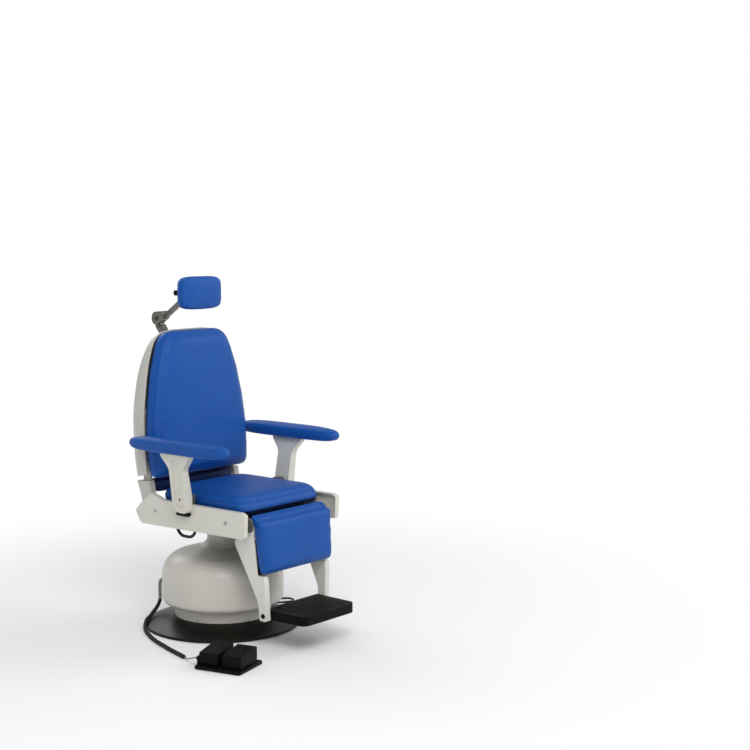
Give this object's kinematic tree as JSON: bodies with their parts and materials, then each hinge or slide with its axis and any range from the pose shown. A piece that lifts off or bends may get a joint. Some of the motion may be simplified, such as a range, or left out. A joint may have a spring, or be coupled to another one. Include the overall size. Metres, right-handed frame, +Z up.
{
  "type": "ear nose and throat examination chair",
  "caption": "Electric examination chair on a round pedestal, with a swivel seat that lifts, a reclining back tied to the leg rest, swing-away arms, a headrest and a wired foot switch.",
  "frame": {"origin": "on the floor, under the centre of the round base", "axes": "+Z up, the sitter faces -Y, +X is the sitter's left"},
  "size_m": [0.8662, 0.974, 1.4104],
  "materials": {
    "mat_rubber": "matt black rubber",
    "base_black": "black powder coat, half gloss",
    "screw_steel": "plain steel",
    "shell_white": "moulded off-white plastic, half gloss",
    "panel_white": "moulded cream-white plastic, half gloss",
    "leg_white": "off-white paint",
    "shell_grey": "moulded warm light grey plastic",
    "frame_grey": "dark grey paint",
    "column_steel": "ground steel",
    "bush_bronze": "bronze bush",
    "black_plastic": "black moulded plastic, fine grain",
    "lever_black": "black dipped rod",
    "knob_dark": "dark grey-brown ribbed knob",
    "bar_grey": "grey paint, worn",
    "wire_grey": "grey cable sheath",
    "board_wood": "birch plywood",
    "vinyl_blue": "blue vinyl, fine grain, half gloss",
    "vinyl_dark": "black-blue vinyl"
  },
  "bodies": {
    "root": {"base_mat": "mat_rubber", "base_plate": "base_black", "skirt_ring": "shell_white", "skirt_screws": "screw_steel", "pedestal_shell": "shell_white", "guide_tube": "frame_grey", "guide_bush": "bush_bronze", "lift_motor": "frame_grey", "control_box": "black_plastic", "power_inlet": "black_plastic", "brake_bracket": "base_black", "cord_gland": "black_plastic", "cord_guard": "screw_steel", "conduit": "black_plastic", "switch_wire": "wire_grey", "switch_base": "black_plastic", "switch_feet": "mat_rubber"},
    "treadle_up": {"up_treadle": "black_plastic"},
    "treadle_down": {"down_treadle": "black_plastic"},
    "brake": {"brake_lever": "lever_black"},
    "lift": {"column": "column_steel", "actuator_rod": "screw_steel", "neck_cover": "shell_white", "lower_race": "screw_steel"},
    "seat": {"upper_race": "screw_steel", "seat_frame": "frame_grey", "rail_left": "frame_grey", "rail_right": "frame_grey", "panel_left": "panel_white", "panel_right": "panel_white", "panel_screws": "screw_steel", "pivot_pins": "screw_steel", "seat_board": "board_wood", "seat_cushion": "vinyl_blue"},
    "recline_handle": {"recline_lever": "lever_black"},
    "left_latch": {"latch_left": "black_plastic"},
    "right_latch": {"latch_right": "black_plastic"},
    "left_arm": {"arm_post_left": "panel_white", "arm_pad_left": "vinyl_blue"},
    "right_arm": {"arm_post_right": "panel_white", "arm_pad_right": "vinyl_blue"},
    "back": {"back_frame": "frame_grey", "back_cranks": "screw_steel", "back_shell": "shell_grey", "back_board": "board_wood", "back_cushion": "vinyl_blue", "lower_back_pad": "vinyl_dark", "headrest_socket": "frame_grey"},
    "head_post": {"headrest_post": "bar_grey"},
    "head_arm": {"headrest_arm": "bar_grey", "headrest_knob": "knob_dark"},
    "head_pad": {"headrest_bracket": "black_plastic", "headrest_pad": "vinyl_blue"},
    "leg_rest": {"leg_frame": "leg_white", "leg_board": "black_plastic", "leg_cushion": "vinyl_blue"},
    "foot": {"footplate": "black_plastic"},
    "left_link": {"link_left": "frame_grey"},
    "right_link": {"link_right": "frame_grey"}
  },
  "joints": [
    {"name": "lift_slide", "type": "slide", "parent": "root", "child": "lift", "axis": [0, 0, 1], "range_m": [0, 0.18]},
    {"name": "seat_swivel", "type": "hinge", "parent": "lift", "child": "seat", "pos_m": [0, 0, 0.43], "axis": [0, 0, 1], "range_deg": [-170, 170]},
    {"name": "back_recline", "type": "hinge", "parent": "seat", "child": "back", "pos_m": [0, 0.165, 0.486], "axis": [-1, 0, 0], "range_deg": [0, 65]},
    {"name": "leg_rest_swing", "type": "hinge", "parent": "seat", "child": "leg_rest", "pos_m": [0, -0.35, 0.486], "axis": [-1, 0, 0], "range_deg": [0, 65]},
    {"name": "left_link_swing", "type": "hinge", "parent": "back", "child": "left_link", "pos_m": [0.167, 0.165, 0.446], "axis": [-1, 0, 0], "range_deg": [-65, 0]},
    {"name": "right_link_swing", "type": "hinge", "parent": "back", "child": "right_link", "pos_m": [-0.167, 0.165, 0.446], "axis": [-1, 0, 0], "range_deg": [-65, 0]},
    {"name": "footplate_fold", "type": "hinge", "parent": "leg_rest", "child": "foot", "pos_m": [0, -0.399, 0.131], "axis": [-1, 0, 0], "range_deg": [0, 70]},
    {"name": "left_arm_swing", "type": "hinge", "parent": "seat", "child": "left_arm", "pos_m": [0.28, -0.075, 0.56], "axis": [-1, 0, 0], "range_deg": [0, 90]},
    {"name": "right_arm_swing", "type": "hinge", "parent": "seat", "child": "right_arm", "pos_m": [-0.28, -0.075, 0.56], "axis": [-1, 0, 0], "range_deg": [0, 90]},
    {"name": "left_latch_press", "type": "hinge", "parent": "seat", "child": "left_latch", "pos_m": [0.28, -0.046, 0.5], "axis": [1, 0, 0], "range_deg": [0, 10], "stiffness_Nm_per_rad": 0.4, "springref_deg": -17.19},
    {"name": "right_latch_press", "type": "hinge", "parent": "seat", "child": "right_latch", "pos_m": [-0.28, -0.046, 0.5], "axis": [1, 0, 0], "range_deg": [0, 10], "stiffness_Nm_per_rad": 0.4, "springref_deg": -17.19},
    {"name": "recline_release", "type": "hinge", "parent": "seat", "child": "recline_handle", "pos_m": [-0.205, -0.038, 0.44], "axis": [0, 1, 0], "range_deg": [0, 15], "stiffness_Nm_per_rad": 1.5, "springref_deg": -17.19},
    {"name": "headrest_height", "type": "slide", "parent": "back", "child": "head_post", "axis": [0, 0.3007, 0.9537], "range_m": [-0.03, 0.08]},
    {"name": "headrest_arm_tilt", "type": "hinge", "parent": "head_post", "child": "head_arm", "pos_m": [0, 0.364, 1.23], "axis": [1, 0, 0], "range_deg": [-40, 10]},
    {"name": "headrest_pad_tilt", "type": "hinge", "parent": "head_arm", "child": "head_pad", "pos_m": [0, 0.16595, 1.34296], "axis": [1, 0, 0], "range_deg": [-35, 35]},
    {"name": "up_treadle_press", "type": "hinge", "parent": "root", "child": "treadle_up", "pos_m": [-0.47561, -0.40958, 0.022], "axis": [-0.2419, 0.9703, 0], "range_deg": [0, 4], "stiffness_Nm_per_rad": 4, "springref_deg": -8.59},
    {"name": "down_treadle_press", "type": "hinge", "parent": "root", "child": "treadle_down", "pos_m": [-0.45142, -0.50661, 0.022], "axis": [-0.2419, 0.9703, 0], "range_deg": [0, 4], "stiffness_Nm_per_rad": 4, "springref_deg": -8.59},
    {"name": "brake_press", "type": "hinge", "parent": "root", "child": "brake", "pos_m": [0.17385, -0.10863, 0.07], "axis": [0.5299, 0.848, 0], "range_deg": [0, 12]}
  ],
  "couplings": [
    {"joint": "leg_rest_swing", "follows": "back_recline", "ratio": 1},
    {"joint": "left_link_swing", "follows": "back_recline", "ratio": -1},
    {"joint": "right_link_swing", "follows": "back_recline", "ratio": -1}
  ]
}
